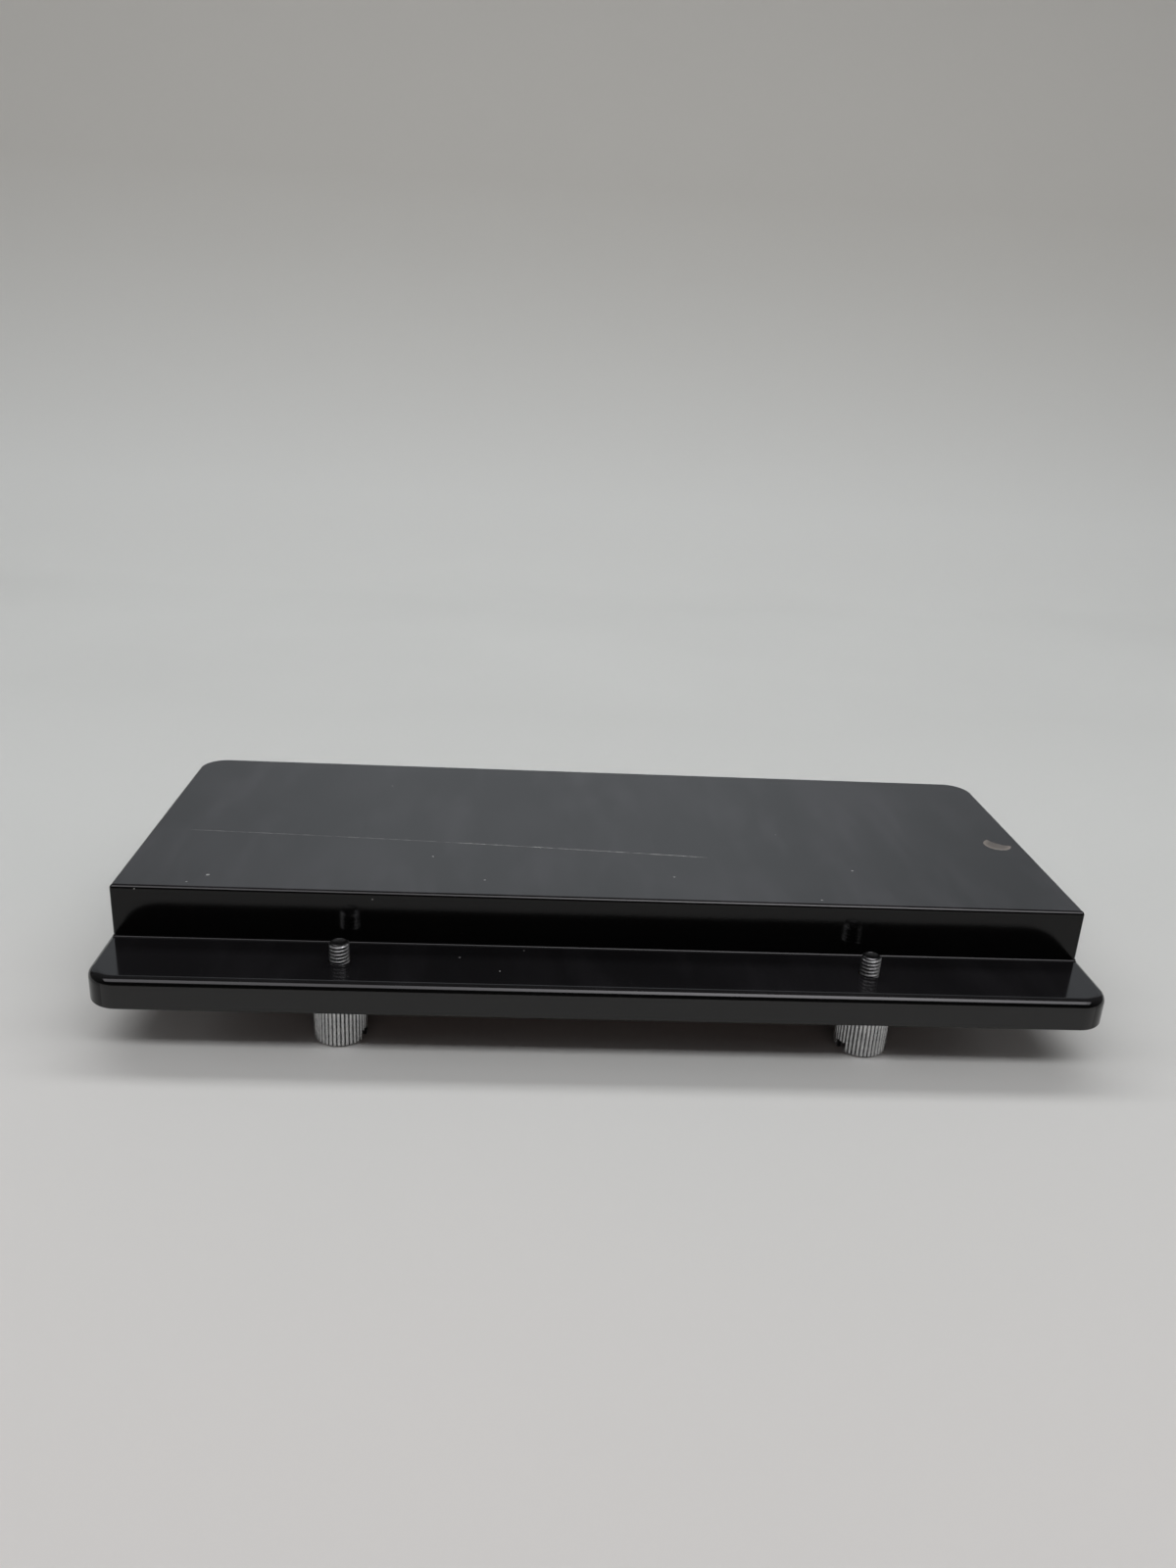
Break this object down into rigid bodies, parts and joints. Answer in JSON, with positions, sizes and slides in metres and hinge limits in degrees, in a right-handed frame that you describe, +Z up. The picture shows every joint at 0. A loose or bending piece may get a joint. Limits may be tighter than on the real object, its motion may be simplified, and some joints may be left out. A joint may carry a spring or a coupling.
{
  "type": "card shuffler feed deck",
  "caption": "Stepped black feed deck of an automatic card shuffler, with captive thumbscrews in its lip and motor-driven rubber rollers in its pan.",
  "frame": {"origin": "centre of the overall box at the plane that the deck rests on", "axes": "+X across the deck, +Y from the screw lip to the back wall, +Z up through the closed box face"},
  "size_m": [0.2058, 0.0946, 0.0289],
  "materials": {
    "housing_plastic": "glossy black moulding with light handling wear",
    "pan_plastic": "fine matt texture",
    "satin_steel": "satin turned and knurled",
    "dark_steel": "black oxide",
    "brass": "turned",
    "bronze": "sintered",
    "nylon": "natural",
    "acetal": "moulded",
    "tyre_rubber": "ground matt",
    "nickel": "nickel plate",
    "board_laminate": "solder mask",
    "black_moulding": "moulded",
    "capacitor_can": "drawn can",
    "lead_sleeve": "soft vinyl"
  },
  "bodies": {
    "root": {"housing_shell": "housing_plastic", "feed_pan": "pan_plastic", "pan_screw_1": "dark_steel", "pan_screw_2": "dark_steel", "pan_screw_3": "dark_steel", "pan_screw_4": "dark_steel", "pan_screw_5": "dark_steel", "pan_screw_6": "dark_steel", "lip_insert_left": "brass", "lip_insert_right": "brass", "shaft_bush_left_front": "bronze", "shaft_bush_left_rear": "bronze", "shaft_bush_right_front": "bronze", "shaft_bush_right_rear": "bronze", "idler_pin_left": "dark_steel", "idler_pin_right": "dark_steel", "gearbox_left": "brass", "gearbox_right": "brass", "motor_can_left": "nickel", "motor_can_right": "nickel", "brush_cap_left": "black_moulding", "brush_cap_right": "black_moulding", "motor_clamp_left": "dark_steel", "motor_clamp_right": "dark_steel", "clamp_screw_left_inner": "satin_steel", "clamp_screw_left_outer": "satin_steel", "clamp_screw_right_inner": "satin_steel", "clamp_screw_right_outer": "satin_steel", "motor_lead_left": "lead_sleeve", "motor_lead_right": "lead_sleeve", "control_board": "board_laminate", "board_screw_front": "satin_steel", "board_screw_rear": "satin_steel", "driver_chip": "black_moulding", "capacitor": "capacitor_can", "card_sensor_left": "black_moulding", "card_sensor_right": "black_moulding", "rear_socket": "black_moulding"},
    "left_washer": {"retaining_washer_left": "nylon"},
    "left_thumbscrew": {"thumbscrew_left": "satin_steel"},
    "right_washer": {"retaining_washer_right": "nylon"},
    "right_thumbscrew": {"thumbscrew_right": "satin_steel"},
    "left_roller": {"roller_shaft_left": "dark_steel", "roller_gear_left": "acetal", "roller_hub_left_front": "acetal", "roller_hub_left_rear": "acetal", "feed_tyre_left_front": "tyre_rubber", "feed_tyre_left_rear": "tyre_rubber"},
    "right_roller": {"roller_shaft_right": "dark_steel", "roller_gear_right": "acetal", "roller_hub_right_front": "acetal", "roller_hub_right_rear": "acetal", "feed_tyre_right_front": "tyre_rubber", "feed_tyre_right_rear": "tyre_rubber"},
    "left_idler": {"idler_gear_left": "acetal"},
    "right_idler": {"idler_gear_right": "acetal"},
    "left_pinion": {"motor_pinion_left": "brass", "motor_shaft_left": "dark_steel"},
    "right_pinion": {"motor_pinion_right": "brass", "motor_shaft_right": "dark_steel"}
  },
  "joints": [
    {"name": "left_screw_lift", "type": "slide", "parent": "root", "child": "left_washer", "axis": [0, 0, 1], "range_m": [0, 0.004]},
    {"name": "left_screw_turn", "type": "hinge", "parent": "left_washer", "child": "left_thumbscrew", "pos_m": [-0.0545, -0.0374, 0.00015], "axis": [0, 0, 1], "continuous": true},
    {"name": "right_screw_lift", "type": "slide", "parent": "root", "child": "right_washer", "axis": [0, 0, 1], "range_m": [0, 0.004]},
    {"name": "right_screw_turn", "type": "hinge", "parent": "right_washer", "child": "right_thumbscrew", "pos_m": [0.0545, -0.0374, 0.00015], "axis": [0, 0, 1], "continuous": true},
    {"name": "left_roller_spin", "type": "hinge", "parent": "root", "child": "left_roller", "pos_m": [-0.03, 0.0087, 0.012], "axis": [0, 1, 0], "continuous": true},
    {"name": "right_roller_spin", "type": "hinge", "parent": "root", "child": "right_roller", "pos_m": [0.03, 0.0087, 0.012], "axis": [0, 1, 0], "continuous": true},
    {"name": "left_idler_spin", "type": "hinge", "parent": "root", "child": "left_idler", "pos_m": [-0.0414, -0.02, 0.0135], "axis": [0, 1, 0], "continuous": true},
    {"name": "right_idler_spin", "type": "hinge", "parent": "root", "child": "right_idler", "pos_m": [0.0414, -0.02, 0.0135], "axis": [0, 1, 0], "continuous": true},
    {"name": "left_pinion_spin", "type": "hinge", "parent": "root", "child": "left_pinion", "pos_m": [-0.05028, -0.02, 0.012], "axis": [0, 1, 0], "continuous": true},
    {"name": "right_pinion_spin", "type": "hinge", "parent": "root", "child": "right_pinion", "pos_m": [0.05028, -0.02, 0.012], "axis": [0, 1, 0], "continuous": true}
  ],
  "couplings": [
    {"joint": "left_idler_spin", "follows": "left_roller_spin", "ratio": -0.91667},
    {"joint": "right_idler_spin", "follows": "right_roller_spin", "ratio": -0.91667},
    {"joint": "left_pinion_spin", "follows": "left_roller_spin", "ratio": 1.8333},
    {"joint": "right_pinion_spin", "follows": "right_roller_spin", "ratio": 1.8333}
  ]
}
